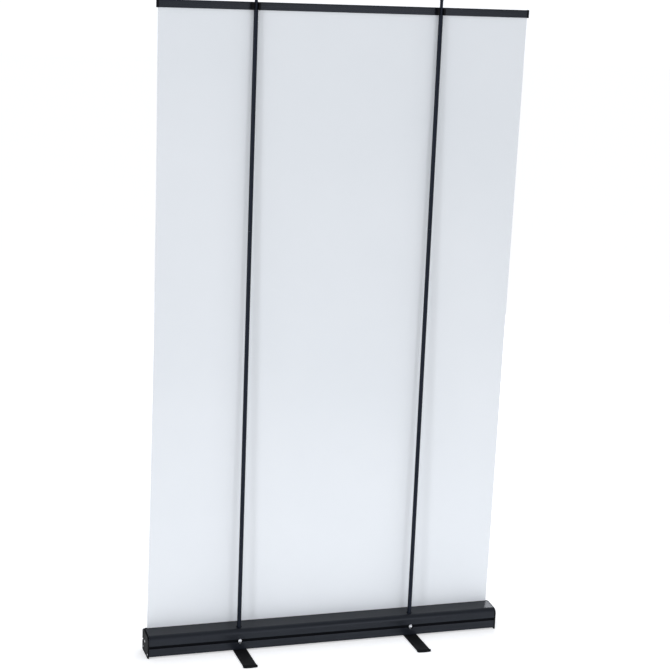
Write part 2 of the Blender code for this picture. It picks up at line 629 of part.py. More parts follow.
# ---------------------------------------------------------------- poles
def make_pole(word, x):
    """Three tubes plugged together on ferrules, with a foot plug and a slimmer peg on top."""
    lift = make_empty(f"pole_{word}_axis", (x, POLE_Y, SOCKET_SEAT))
    foot_height = SOCKET_SEAT + GAP
    flange = POLE_FOOT_FLANGE
    length = POLE_TOP - foot_height - flange - GAP
    section = length / POLE_SECTIONS
    base = foot_height + flange + GAP
    inner = FERRULE_RADIUS
    plug_top = flange + POLE_FOOT_INSIDE
    plug = [(0, plug_top), (inner, plug_top), (inner, flange)]
    plug += [(POLE_RADIUS, flange), (POLE_RADIUS, 0), (0, 0)]
    finish(make_turned(f"pole_foot_plug_{word}", plug, (x, POLE_Y, foot_height), BLACK_PLASTIC), lift)
    for number, name in enumerate(("lower", "middle", "upper")):
        low = base + number * section
        finish(make_tube(f"pole_{name}_{word}", POLE_RADIUS, POLE_WALL, (x, POLE_Y, low), section - GAP,
                         BLACK_ALUMINIUM), lift)
        if number:
            finish(make_tube(f"ferrule_{name}_{word}", FERRULE_RADIUS, FERRULE_WALL,
                             (x, POLE_Y, low - FERRULE_LENGTH / 2), FERRULE_LENGTH, RAW_ALUMINIUM), lift)
    peg_top = RAIL_TOP + PEG_ABOVE_RAIL - PEG_CAP_DOME - PEG_CAP_WALL - GAP
    collar_top, collar_radius = POLE_TOP + PEG_COLLAR_HEIGHT, inner + PEG_COLLAR_STEP
    peg = [(0, peg_top), (PEG_RADIUS, peg_top), (PEG_RADIUS, collar_top), (collar_radius, collar_top)]
    peg += [(collar_radius, POLE_TOP + GAP), (inner, POLE_TOP + GAP), (inner, POLE_TOP - PEG_INSIDE)]
    peg += [(0, POLE_TOP - PEG_INSIDE)]
    finish(make_turned(f"pole_peg_{word}", peg, (x, POLE_Y, 0), BLACK_ALUMINIUM), lift)
    bore = PEG_RADIUS + GAP
    outside = bore + PEG_CAP_WALL
    shoulder = peg_top + GAP + PEG_CAP_WALL
    cap = [(outside * math.sin(math.radians(angle)), shoulder + PEG_CAP_DOME * math.cos(math.radians(angle)))
           for angle in (0, 30, 60, 90)]
    skirt, roof = peg_top - PEG_CAP_SKIRT, peg_top + GAP
    cap += [(outside, skirt), (bore, skirt), (bore, roof), (0, roof)]
    finish(make_turned(f"pole_cap_{word}", cap, (x, POLE_Y, 0), BLACK_PLASTIC), lift)


def make_socket(word, x):
    """The block inside the case that the pole stands in, held by one screw from behind."""
    half = SOCKET_WIDTH / 2
    front = POLE_Y - POLE_RADIUS - HOLE_CLEARANCE - SOCKET_FRONT_WALL
    rear = GROOVE_INNER - GAP
    bend = CASE_REAR_RADIUS - CASE_WALL
    bend_depth = bend - (INNER_REAR - rear)
    top = CASE_TOP - CASE_WALL - CASE_REAR_DROP - bend + math.sqrt(bend ** 2 - bend_depth ** 2) - GAP
    socket = make_box(f"pole_socket_{word}", (x - half, front, SOCKET_BASE), (x + half, rear, top),
                      BLACK_PLASTIC)
    cut_round(socket, POLE_RADIUS + HOLE_CLEARANCE, (x, POLE_Y, SOCKET_SEAT), (x, POLE_Y, top + OVERCUT))
    shank, head = SCREW_SHANK_RADIUS, SCREW_HEAD_RADIUS
    cut_round(socket, shank + GAP, (x, rear - SCREW_SHANK_LENGTH - SCREW_SHANK_ROOM, SCREW_HEIGHT),
              (x, rear + OVERCUT, SCREW_HEIGHT), 16)
    finish(socket)
    recess_floor, crown, shoulder, brim = 0.2 * head, 0.5 * head, 0.43 * head, 0.23 * head
    profile = [(0, recess_floor), (0.30 * head, recess_floor), (0.34 * head, crown), (0.77 * head, shoulder)]
    profile += [(head, brim), (head, 0), (shank, 0)]
    profile += [(shank, shank / 2 - SCREW_SHANK_LENGTH), (0, -SCREW_SHANK_LENGTH)]
    screw = make_turned(f"socket_screw_{word}", profile, (x, rear + GAP, SCREW_HEIGHT), ZINC, sides=20)
    screw.rotation_euler = (-math.pi / 2, 0, 0)
    finish(screw)


# ---------------------------------------------------------------- feet
def make_foot(word, x):
    """A flat bar under the case on one pivot bolt, with a moulded tip on each end."""
    pivot = make_empty(f"foot_{word}_axis", (x, 0, 0))
    bar_low, bar_top = FOOT_BAR_LIFT, FOOT_BAR_LIFT + FOOT_THICK
    bar_half = FOOT_LENGTH / 2 - TIP_LENGTH + TIP_INSERT
    half = FOOT_WIDTH / 2
    bar = make_box(f"foot_bar_{word}", (x - half, -bar_half, bar_low), (x + half, bar_half, bar_top),
                   BLACK_PAINT)
    cut_round(bar, PIVOT_RADIUS + GAP, (x, 0, bar_low - OVERCUT), (x, 0, bar_top + OVERCUT), 16)
    spread = (PIVOT_HEAD_RADIUS - PIVOT_RADIUS) / PIVOT_HEAD_DEPTH
    throat = PIVOT_RADIUS + 2 * GAP
    below = PIVOT_HEAD_DEPTH / 2
    sink = make_cylinder(f"foot_bar_{word}_sink", throat + spread * (PIVOT_HEAD_DEPTH + below),
                         (x, 0, bar_low - below), (x, 0, bar_low + PIVOT_HEAD_DEPTH), sides=16, top=throat,
                         collection=cutters)
    apply_boolean(bar, sink, "DIFFERENCE")
    finish(bar, pivot)
    for end, way in (("front", -1), ("rear", 1)):
        make_foot_tip(f"foot_tip_{word}_{end}", x, way, pivot)
    bolt_top = BOLT_SEAT + PIVOT_BOLT_REACH
    bolt = [(0, bolt_top), (PIVOT_RADIUS, bolt_top), (PIVOT_RADIUS, bar_low + PIVOT_HEAD_DEPTH)]
    bolt += [(PIVOT_HEAD_RADIUS, bar_low), (0, bar_low)]
    finish(make_turned(f"pivot_bolt_{word}", bolt, (x, 0, 0), ZINC, sides=16), pivot)
    bore = PIVOT_RADIUS + GAP
    finish(make_tube(f"pivot_spacer_{word}", SPACER_RADIUS, SPACER_RADIUS - bore, (x, 0, bar_top + GAP),
                     CASE_LIFT - bar_top - 2 * GAP, BLACK_PLASTIC, sides=16), pivot)
    finish(make_tube(f"pivot_washer_{word}", WASHER_RADIUS, WASHER_RADIUS - bore, (x, 0, BOLT_SEAT),
                     WASHER_THICK, ZINC, sides=16), pivot)
    nut_low = BOLT_SEAT + WASHER_THICK + GAP
    nut_top = nut_low + NUT_HEIGHT
    nut = make_cylinder(f"pivot_nut_{word}", NUT_RADIUS, (x, 0, nut_low), (x, 0, nut_top), ZINC, sides=6)
    cut_round(nut, bore, (x, 0, nut_low - OVERCUT), (x, 0, nut_top + OVERCUT), 16)
    finish(nut, pivot)


def make_foot_tip(name, x, way, pivot):
    """A moulded cap over the bar's end, with a gently rounded nose."""
    half = FOOT_WIDTH / 2 + TIP_WALL
    inner, outer = FOOT_LENGTH / 2 - TIP_LENGTH, FOOT_LENGTH / 2
    outline = [(-half, inner), (half, inner)]
    steps = 10
    for step in range(steps + 1):
        angle = math.pi * step / steps
        outline.append((half * math.cos(angle), outer - TIP_NOSE * (1 - math.sin(angle) ** 0.6)))
    shape = bmesh.new()
    loop = [shape.verts.new((x + px, way * py, 0)) for px, py in outline]
    face = shape.faces.new(loop)
    raised = bmesh.ops.extrude_face_region(shape, geom=[face])
    bmesh.ops.translate(shape, vec=(0, 0, TIP_THICK),
                        verts=[item for item in raised["geom"] if isinstance(item, bmesh.types.BMVert)])
    bmesh.ops.recalc_face_normals(shape, faces=shape.faces)
    mesh = bpy.data.meshes.new(name)
    shape.to_mesh(mesh)
    shape.free()
    tip = add_object(name, mesh, BLACK_PLASTIC)
    reach = inner + TIP_INSERT + GAP
    near, far = sorted((way * (inner - OVERCUT), way * reach))
    pocket = make_box(f"{name}_pocket", (x - FOOT_WIDTH / 2 - GAP, near, FOOT_BAR_LIFT - GAP),
                      (x + FOOT_WIDTH / 2 + GAP, far, FOOT_BAR_LIFT + FOOT_THICK + GAP), collection=cutters)
    apply_boolean(tip, pocket, "DIFFERENCE")
    finish(tip, pivot)


make_case()
make_wipers()
for side_word, side_sign in SIDES:
    make_end_cap(side_word, side_sign)
make_roller()
make_spring_drive()
make_film()
make_rail()
for side_word, side_sign in SIDES:
    make_pole(side_word, side_sign * POLE_X)
    make_socket(side_word, side_sign * POLE_X)
    make_foot(side_word, side_sign * POLE_X)
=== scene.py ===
import json
import math

import bmesh
import bpy
from mathutils import Matrix, Vector


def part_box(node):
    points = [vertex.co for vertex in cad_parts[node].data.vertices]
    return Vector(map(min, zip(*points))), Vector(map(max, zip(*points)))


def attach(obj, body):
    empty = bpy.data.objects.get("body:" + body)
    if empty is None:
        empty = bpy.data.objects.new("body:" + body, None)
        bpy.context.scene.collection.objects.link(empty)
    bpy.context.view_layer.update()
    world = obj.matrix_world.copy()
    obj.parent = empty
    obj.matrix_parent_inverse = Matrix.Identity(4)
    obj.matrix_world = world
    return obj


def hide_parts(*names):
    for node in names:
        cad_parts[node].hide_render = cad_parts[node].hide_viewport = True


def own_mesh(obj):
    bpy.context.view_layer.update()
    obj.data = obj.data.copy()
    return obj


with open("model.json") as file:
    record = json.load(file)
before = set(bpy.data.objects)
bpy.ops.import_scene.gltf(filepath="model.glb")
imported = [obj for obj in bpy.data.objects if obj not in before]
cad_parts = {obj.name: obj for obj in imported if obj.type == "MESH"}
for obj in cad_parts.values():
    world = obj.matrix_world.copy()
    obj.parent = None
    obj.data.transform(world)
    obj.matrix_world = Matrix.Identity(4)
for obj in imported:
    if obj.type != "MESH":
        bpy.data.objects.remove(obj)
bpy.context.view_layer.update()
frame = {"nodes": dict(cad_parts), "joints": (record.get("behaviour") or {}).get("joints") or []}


# ---------------------------------------------------------------- camera
# A long lens a little above the rail's height, behind the stand and to the +X side of it. It looks at
# the poles and down on the cassette. Seen from behind it, the camera is rolled a little anticlockwise.
CAMERA_PLACE = (1.664, 5.124, 2.263)
CAMERA_HEADING = math.radians(161.965)      # from +Y, anticlockwise seen from above
CAMERA_PITCH = math.radians(-13.822)
CAMERA_ROLL = math.radians(2.327)

lens = bpy.data.cameras.new("camera")
lens.sensor_width = 36
lens.lens = 91.54
lens.shift_y = 0.0523
camera = bpy.data.objects.new("camera", lens)
bpy.context.scene.collection.objects.link(camera)
camera.matrix_world = (Matrix.Translation(CAMERA_PLACE) @ Matrix.Rotation(CAMERA_HEADING, 4, "Z")
                       @ Matrix.Rotation(math.pi / 2 + CAMERA_PITCH, 4, "X")
                       @ Matrix.Rotation(CAMERA_ROLL, 4, "Z"))
bpy.context.scene.camera = camera


# ---------------------------------------------------------------- studio
# A pale floor and an even white surround. Two tall soft boxes behind the stand, one either side of the
# camera, throw two soft shadows of each pole on the film. A third one lights the film from the front,
# and a long low one behind the stand lights the foot of the film.
def new_finish(name, colour, roughness, metallic=0.0):
    """A material with its main values on the shader's own sockets."""
    material = bpy.data.materials.new(name)
    material.use_nodes = True
    shader = material.node_tree.nodes["Principled BSDF"]
    shader.inputs["Base Color"].default_value = (*colour, 1)
    shader.inputs["Roughness"].default_value = roughness
    shader.inputs["Metallic"].default_value = metallic
    return material


def vary(material, scale, dark, light, rough, stretch=(1, 1, 1)):
    """Clouds or streaks at this scale, between two colours and between two roughnesses."""
    nodes, links = material.node_tree.nodes, material.node_tree.links
    shader = nodes["Principled BSDF"]
    place = nodes.new("ShaderNodeTexCoord")
    mapping = nodes.new("ShaderNodeMapping")
    mapping.inputs["Scale"].default_value = stretch
    noise = nodes.new("ShaderNodeTexNoise")
    noise.inputs["Scale"].default_value = scale
    noise.inputs["Detail"].default_value = 4
    tint = nodes.new("ShaderNodeValToRGB")
    tint.color_ramp.elements[0].position = 0.3
    tint.color_ramp.elements[0].color = (*dark, 1)
    tint.color_ramp.elements[1].position = 0.7
    tint.color_ramp.elements[1].color = (*light, 1)
    gloss = nodes.new("ShaderNodeMapRange")
    gloss.inputs["To Min"].default_value = rough[0]
    gloss.inputs["To Max"].default_value = rough[1]
    links.new(place.outputs["Object"], mapping.inputs["Vector"])
    links.new(mapping.outputs["Vector"], noise.inputs["Vector"])
    links.new(noise.outputs["Fac"], tint.inputs["Fac"])
    links.new(noise.outputs["Fac"], gloss.inputs["Value"])
    links.new(tint.outputs["Color"], shader.inputs["Base Color"])
    links.new(gloss.outputs["Result"], shader.inputs["Roughness"])
    return material


def add_bump(material, scale, strength, distance, stretch=(1, 1, 1)):
    """Fine relief at this scale on the surface."""
    nodes, links = material.node_tree.nodes, material.node_tree.links
    place = nodes.new("ShaderNodeTexCoord")
    mapping = nodes.new("ShaderNodeMapping")
    mapping.inputs["Scale"].default_value = stretch
    grain = nodes.new("ShaderNodeTexNoise")
    grain.inputs["Scale"].default_value = scale
    grain.inputs["Detail"].default_value = 3
    bump = nodes.new("ShaderNodeBump")
    bump.inputs["Strength"].default_value = strength
    bump.inputs["Distance"].default_value = distance
    links.new(place.outputs["Object"], mapping.inputs["Vector"])
    links.new(mapping.outputs["Vector"], grain.inputs["Vector"])
    links.new(grain.outputs["Fac"], bump.inputs["Height"])
    links.new(bump.outputs["Normal"], nodes["Principled BSDF"].inputs["Normal"])


FLOOR_SIZE = 60
FLOOR_DROP = 0.0002
floor_finish = vary(new_finish("studio_floor", (0.92, 0.92, 0.92), 0.9), 3.0,
                    (0.915, 0.915, 0.918), (0.925, 0.925, 0.928), (0.85, 0.95))
bpy.ops.object.select_all(action="DESELECT")
bpy.ops.mesh.primitive_plane_add(size=FLOOR_SIZE, location=(0, 0, -FLOOR_DROP))
floor = bpy.context.object
floor.name = "studio_floor"
floor.data.materials.append(floor_finish)
floor_shader = floor_finish.node_tree.nodes["Principled BSDF"]
floor_shader.inputs["Emission Color"].default_value = (1, 1, 1, 1)
floor_shader.inputs["Emission Strength"].default_value = 0.46

# The surround lights the stand at the first strength and shows behind it at the second.
SURROUND_LIGHT = 0.62
SURROUND_BACKDROP = 1.12
surround = bpy.data.worlds.new("surround")
surround.use_nodes = True
background = surround.node_tree.nodes["Background"]
background.inputs["Color"].default_value = (0.94, 0.96, 1.0, 1)
seen = surround.node_tree.nodes.new("ShaderNodeLightPath")
level = surround.node_tree.nodes.new("ShaderNodeMapRange")
level.inputs["To Min"].default_value = SURROUND_LIGHT
level.inputs["To Max"].default_value = SURROUND_BACKDROP
surround.node_tree.links.new(seen.outputs["Is Camera Ray"], level.inputs["Value"])
surround.node_tree.links.new(level.outputs["Result"], background.inputs["Strength"])
bpy.context.scene.world = surround
bpy.context.scene.view_settings.view_transform = "Standard"

# Name, place, width, height, watts and the height that it is aimed at.
SOFT_BOXES = (("far_box", (4.9, 3.7, 1.3), 0.75, 2.4, 66, 1.1),
              ("near_box", (-1.7, 5.2, 1.3), 0.8, 2.4, 27, 1.1),
              ("front_box", (-2.4, -5.0, 1.6), 2.0, 2.0, 95, 1.1),
              ("low_fill", (-0.1, 0.9, 0.10), 2.6, 0.12, 3.2, 0.25))
for name, place, width, height, power, aim in SOFT_BOXES:
    box_light = bpy.data.lights.new(name, "AREA")
    box_light.shape = "RECTANGLE"
    box_light.color = (0.92, 0.94, 1.0)
    box_light.size = width
    box_light.size_y = height
    box_light.energy = power
    lamp = bpy.data.objects.new(name, box_light)
    bpy.context.scene.collection.objects.link(lamp)
    lamp.location = place
    lamp.rotation_euler = (Vector(place) - Vector((0, 0, aim))).to_track_quat("Z", "Y").to_euler()
    lamp.visible_camera = False
    lamp.visible_glossy = name != "low_fill"


# ---------------------------------------------------------------- cassette body
# One extruded aluminium shell, anodised satin black, with a slot for the film along its top and a
# groove along its rear. It is cut to length and drilled for the poles, their screws and the pivots.
# The faces inside the groove are darker and duller than the rest, as painted shade for the narrow groove.
case_low, case_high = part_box("cassette_body")
film_y = (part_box("wiper_pile_front")[1][1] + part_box("wiper_pile_rear")[0][1]) / 2
pole_low, pole_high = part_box("pole_lower_right")
pole_x = (pole_low[0] + pole_high[0]) / 2
pole_y = (pole_low[1] + pole_high[1]) / 2
pole_radius = (pole_high[0] - pole_low[0]) / 2
screw_low, screw_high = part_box("socket_screw_right")
screw_z = (screw_low[2] + screw_high[2]) / 2
WALL = 0.0022
SLOT_FRONT = film_y - 0.003
SLOT_REAR = film_y + 0.006
GROOVE_TOP = case_low[2] + 0.03635
GROOVE_LOW = case_low[2] + 0.02685
GROOVE_DEPTH = 0.003
GROOVE_LIP = 0.0005
REAR_DROP = 0.0045
FRONT_DROP = 0.003
REAR_BEND = 0.0155
FRONT_BEND = 0.0105
TOE_BEND = 0.004
POLE_CLEARANCE = 0.0005
POLE_HOLE_SPAN = (0.055, 0.09)
POCKET_RADIUS = 0.0078
POCKET_FLOOR = screw_low[1] + 0.012
PIVOT_HOLE_RADIUS = 0.0033
PIVOT_HOLE_SPAN = (0.002, 0.012)
OVERRUN = 0.01                              # how far a cutting shape reaches past the piece
SNAP = 0.0001                               # how near counts as in the same place


def only(piece):
    """Makes this the one selected piece."""
    bpy.ops.object.select_all(action="DESELECT")
    piece.select_set(True)
    bpy.context.view_layer.objects.active = piece


def add_block(name, low, high):
    """A block between two corners, with its place in its mesh."""
    low, high = Vector(low), Vector(high)
    bpy.ops.object.select_all(action="DESELECT")
    bpy.ops.mesh.primitive_cube_add(size=1, location=(low + high) / 2, scale=high - low)
    piece = bpy.context.object
    piece.name = name
    bpy.ops.object.transform_apply(location=True, rotation=True, scale=True)
    return piece


def choose(kind, test):
    """In edit mode, selects just the faces or edges that pass the test."""
    bpy.ops.mesh.select_mode(type=kind)
    bpy.ops.mesh.select_all(action="DESELECT")
    shape = bmesh.from_edit_mesh(bpy.context.object.data)
    for item in (shape.faces if kind == "FACE" else shape.edges):
        if test(item):
            item.select_set(True)
    bmesh.update_edit_mesh(bpy.context.object.data)


def edge_at(y, z):
    """A test for edges that run along X at this place."""
    near = 0.0004

    def test(edge):
        first, last = edge.verts
        along = abs(first.co.x - last.co.x) > 10 * near
        return along and all(abs(v.co.y - y) < near and abs(v.co.z - z) < near for v in edge.verts)
    return test


def round_chosen(radius, segments):
    """In edit mode, rounds the chosen edges."""
    bpy.ops.mesh.bevel(offset=radius, segments=segments, profile=0.5, affect="EDGES")


def shape_profile(front, rear, foot, top):
    """In edit mode, gives a block the cassette's two rounded shoulders and its rounded front toe."""
    choose("EDGE", edge_at(rear, top))
    bpy.ops.transform.translate(value=(0, 0, -REAR_DROP))
    round_chosen(REAR_BEND, 14)
    choose("EDGE", edge_at(front, top))
    bpy.ops.transform.translate(value=(0, 0, -FRONT_DROP))
    round_chosen(FRONT_BEND, 12)
    choose("EDGE", edge_at(front, foot))
    round_chosen(TOE_BEND, 6)


def cut_at(axis, value):
    """In edit mode, adds an edge all round the piece at one place along an axis."""
    normal = Vector((0, 0, 0))
    normal[axis] = 1
    bpy.ops.mesh.select_all(action="SELECT")
    bpy.ops.mesh.bisect(plane_co=normal * value, plane_no=normal)


def apply_modifier(piece, kind, **values):
    """Adds a modifier with these values and applies it."""
    only(piece)
    step = piece.modifiers.new(kind.lower(), kind)
    for key, value in values.items():
        setattr(step, key, value)
    bpy.ops.object.modifier_apply(modifier=step.name)


def cut_with(piece, tool):
    """Takes a tool's shape out of a piece, and the tool out of the scene."""
    apply_modifier(piece, "BOOLEAN", object=tool, operation="DIFFERENCE", solver="EXACT")
    bpy.data.objects.remove(tool)


def add_round(name, radius, start, end, sides=48):
    """A round bar from one point to another, with its place in its mesh."""
    start, end = Vector(start), Vector(end)
    bpy.ops.object.select_all(action="DESELECT")
    bpy.ops.mesh.primitive_cylinder_add(vertices=sides, radius=radius, depth=(end - start).length,
                                        location=(start + end) / 2,
                                        rotation=(end - start).to_track_quat("Z", "Y").to_euler())
    piece = bpy.context.object
    piece.name = name
    bpy.ops.object.transform_apply(location=True, rotation=True, scale=True)
    return piece


def ease_edges(piece, width, segments=2, angle=40):
    """Rounds the sharp edges and shades the rest smooth, with the large faces kept flat."""
    apply_modifier(piece, "BEVEL", width=width, segments=segments, limit_method="ANGLE",
                   angle_limit=math.radians(angle), use_clamp_overlap=True, harden_normals=False)
    only(piece)
    bpy.ops.object.shade_smooth_by_angle(angle=math.radians(35))
    apply_modifier(piece, "WEIGHTED_NORMAL", keep_sharp=True, weight=80)


def hand_over(piece, material, body, slot, *nodes):
    """Gives a finished piece its material and its body, and hides the nodes that it stands for; the slot is
    not used.
    """
    piece.data.materials.clear()
    piece.data.materials.append(material)
    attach(piece, body)
    if nodes:
        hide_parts(*nodes)


anodised = vary(new_finish("black_anodised", (0.005, 0.007, 0.013), 0.34), 9.0,
                (0.0040, 0.0050, 0.0080), (0.0070, 0.0085, 0.0125), (0.30, 0.40), stretch=(0.3, 6, 6))
anodised.node_tree.nodes["Principled BSDF"].inputs["Specular IOR Level"].default_value = 0.30
anodised.node_tree.nodes["Principled BSDF"].inputs["Specular Tint"].default_value = (0.86, 0.92, 1.0, 1)
add_bump(anodised, 260, 0.10, 0.0004, stretch=(0.02, 1, 1))

case = add_block("cassette_shell", case_low, case_high)
only(case)
bpy.ops.object.mode_set(mode="EDIT")
cut_at(1, SLOT_FRONT)
cut_at(1, SLOT_REAR)
cut_at(2, GROOVE_TOP)
cut_at(2, GROOVE_LOW)
choose("FACE", lambda f: f.normal.y > 0.9 and GROOVE_LOW < f.calc_center_median().z < GROOVE_TOP)
bpy.ops.mesh.extrude_region_move(TRANSFORM_OT_translate={"value": (0, -GROOVE_DEPTH, 0)})
choose("FACE", lambda f: abs(f.normal.x) > 0.9)
bpy.ops.mesh.delete(type="FACE")
choose("FACE", lambda f: f.normal.z > 0.9 and SLOT_FRONT < f.calc_center_median().y < SLOT_REAR)
bpy.ops.mesh.delete(type="FACE")
shape_profile(case_low[1], case_high[1], case_low[2], case_high[2])
bpy.ops.object.mode_set(mode="OBJECT")
apply_modifier(case, "SOLIDIFY", thickness=WALL, offset=-1, use_even_offset=True)
for side in (-1, 1):
    x = side * pole_x
    cut_with(case, add_round("pole_hole", pole_radius + POLE_CLEARANCE, (x, pole_y, POLE_HOLE_SPAN[0]),
                             (x, pole_y, POLE_HOLE_SPAN[1]), 64))
    cut_with(case, add_round("screw_pocket", POCKET_RADIUS, (x, POCKET_FLOOR, screw_z),
                             (x, case_high[1] + OVERRUN, screw_z), 64))
    cut_with(case, add_round("pivot_hole", PIVOT_HOLE_RADIUS, (x, 0, PIVOT_HOLE_SPAN[0]),
                             (x, 0, PIVOT_HOLE_SPAN[1]), 32))
ease_edges(case, 0.00035)
hand_over(case, anodised, "base", "black_aluminium", "cassette_body")
# Painted shade: the groove's faces get a darker colour and a weaker shine in place of the shade that falls
# inside the groove.
groove_shade_finish = vary(new_finish("groove_painted_shade", (0.003, 0.0035, 0.005), 0.75), 30,
                     (0.002, 0.0025, 0.0035), (0.004, 0.0045, 0.006), (0.7, 0.85), stretch=(0.3, 6, 6))
groove_shade_finish.node_tree.nodes["Principled BSDF"].inputs["Specular IOR Level"].default_value = 0.05
case.data.materials.append(groove_shade_finish)
# The faces inside the groove take the painted-shade material.
for face in case.data.polygons:
    at_groove = GROOVE_LOW - SNAP < face.center.z < GROOVE_TOP + SNAP
    if at_groove and case_high[1] - GROOVE_DEPTH - SNAP < face.center.y < case_high[1] - GROOVE_LIP:
        face.material_index = 1


# ---------------------------------------------------------------- pile strips
# Two strips of dense black pile close the slot either side of the film and keep dust off the roll.
# Each is woven and fixed along one edge of the slot, and its tufts end unevenly.
pile_finish = vary(new_finish("black_pile", (0.012, 0.012, 0.013), 0.95), 900,
                   (0.006, 0.006, 0.007), (0.022, 0.022, 0.024), (0.88, 1.0))
pile_finish.node_tree.nodes["Principled BSDF"].inputs["Sheen Weight"].default_value = 0.3
add_bump(pile_finish, 1400, 0.6, 0.0006)
TUFT_STEPS = 600
TUFT_SPREAD = 0.0006
COARSE_WAVE = 2100                          # radians in a metre, as are the next two
FINE_WAVE = 3370
WAVE_SLANT = 900

for word in ("front", "rear"):
    low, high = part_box(f"wiper_pile_{word}")
    strip = add_block(f"pile_strip_{word}", low, high)
    only(strip)
    bpy.ops.object.mode_set(mode="EDIT")
    choose("EDGE", lambda e: abs(e.verts[0].co.x - e.verts[1].co.x) > 1)
    bpy.ops.mesh.subdivide(number_cuts=TUFT_STEPS)
    bpy.ops.object.mode_set(mode="OBJECT")
    for point in strip.data.vertices:
        if point.co.z > high[2] - SNAP:
            coarse = math.sin(point.co.x * COARSE_WAVE)
            fine = math.sin(point.co.x * FINE_WAVE + point.co.y * WAVE_SLANT)
            point.co.z += TUFT_SPREAD * 0.25 * (coarse + fine - 2)
    hand_over(strip, pile_finish, "base", "pile", f"wiper_pile_{word}")


# ---------------------------------------------------------------- end caps
# A moulded cap closes each end of the cassette, held by two screws, and reaches almost to the floor. Its
# face lies inside a raised rim, with a shallow round recess in line with the roller's axle and a small
# notch in the front edge.
moulded = vary(new_finish("black_moulding", (0.006, 0.0065, 0.008), 0.52), 40,
               (0.0045, 0.005, 0.006), (0.009, 0.0095, 0.011), (0.56, 0.70))
moulded.node_tree.nodes["Principled BSDF"].inputs["Specular IOR Level"].default_value = 0.06
add_bump(moulded, 1500, 0.18, 0.0003)
roller_low, roller_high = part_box("roller_tube")
axle_y = (roller_low[1] + roller_high[1]) / 2
axle_z = (roller_low[2] + roller_high[2]) / 2
CAP_THICK = 0.0050
CAP_RIM = 0.0024
CAP_RIM_SLOPE = 0.0004
CAP_SINK = 0.0006
NOTCH_HEIGHT = 0.0050
NOTCH_DEPTH = 0.0070
NOTCH_SQUASH = 0.7
RECESS_RADIUS = 0.0062
RECESS_DEPTH = 0.0010
SCREW_INSET = 0.0067
SEAT_RADIUS = 0.0036
SEAT_DEPTH = 0.0024
SCREW_BORE_RADIUS = 0.0021

for word, side in (("left", -1), ("right", 1)):
    low, high = (Vector(corner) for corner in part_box(f"end_cap_{word}"))
    outer = high.x if side > 0 else low.x
    inner = outer - side * CAP_THICK
    cap = add_block(f"cap_{word}", (min(inner, outer), low.y, low.z), (max(inner, outer), high.y, high.z))
    only(cap)
    bpy.ops.object.mode_set(mode="EDIT")
    cut_at(1, SLOT_FRONT)
    cut_at(1, SLOT_REAR)
    shape_profile(low.y, high.y, low.z, high.z)
    choose("FACE", lambda f: f.normal.x * side > 0.9)
    bpy.ops.mesh.dissolve_faces()
    bpy.ops.mesh.inset(thickness=CAP_RIM, depth=0)
    bpy.ops.mesh.inset(thickness=CAP_RIM_SLOPE, depth=-CAP_SINK)
    bpy.ops.object.mode_set(mode="OBJECT")
    notch_z = (GROOVE_TOP + GROOVE_LOW) / 2
    notch = add_block("notch", (min(inner, outer) - OVERRUN, low.y - NOTCH_DEPTH, notch_z - NOTCH_DEPTH),
                      (max(inner, outer) + OVERRUN, low.y + NOTCH_DEPTH, notch_z + NOTCH_DEPTH))
    only(notch)
    bpy.ops.transform.rotate(value=math.radians(45), orient_axis="X",
                             center_override=(0, low.y, notch_z))
    bpy.ops.object.transform_apply(location=True, rotation=True, scale=True)
    bpy.ops.transform.resize(value=(1, NOTCH_SQUASH, NOTCH_HEIGHT / (2 * NOTCH_DEPTH)),
                             center_override=(0, low.y, notch_z))
    bpy.ops.object.transform_apply(location=True, rotation=True, scale=True)
    cut_with(cap, notch)
    face = outer - side * CAP_SINK
    cut_with(cap, add_round("axle_recess", RECESS_RADIUS, (face - side * RECESS_DEPTH, axle_y, axle_z),
                            (face + side * OVERRUN, axle_y, axle_z)))
    for y in (case_low[1] + SCREW_INSET, case_high[1] - SCREW_INSET):
        z = case_low[2] + SCREW_INSET
        cut_with(cap, add_round("screw_seat", SEAT_RADIUS, (outer - side * SEAT_DEPTH, y, z),
                                (outer + side * OVERRUN, y, z), 40))
        cut_with(cap, add_round("screw_bore", SCREW_BORE_RADIUS, (inner - side * OVERRUN, y, z),
                                (outer + side * OVERRUN, y, z), 32))
    ease_edges(cap, 0.0003)
    hand_over(cap, moulded, "base", "black_plastic", f"end_cap_{word}")


# ---------------------------------------------------------------- screws
# Bright zinc-plated screws: two small ones hold each end cap, and one larger one behind each pole holds
# its socket, over a small oval plate. Each has a turned head with a domed crown and a cross recess.
zinc = vary(new_finish("zinc_plate", (0.86, 0.87, 0.89), 0.36, 1.0), 350,
            (0.80, 0.81, 0.83), (0.90, 0.91, 0.93), (0.30, 0.44))
add_bump(zinc, 900, 0.08, 0.0002)
# Places behind the outer end that each screw has in the frame.
CAP_SCREW_SEAT = 0.0019
POLE_SCREW_SEAT = 0.0030
PLATE_BACK = 0.0042
PLATE_FACE = 0.0031
PLATE_HALF_WIDTH = 0.0061
PLATE_HALF_HEIGHT = 0.0077


def join_with(piece, part):
    """Makes a second shape one with a piece, and takes it out of the scene."""
    apply_modifier(piece, "BOOLEAN", object=part, operation="UNION", solver="EXACT")
    bpy.data.objects.remove(part)


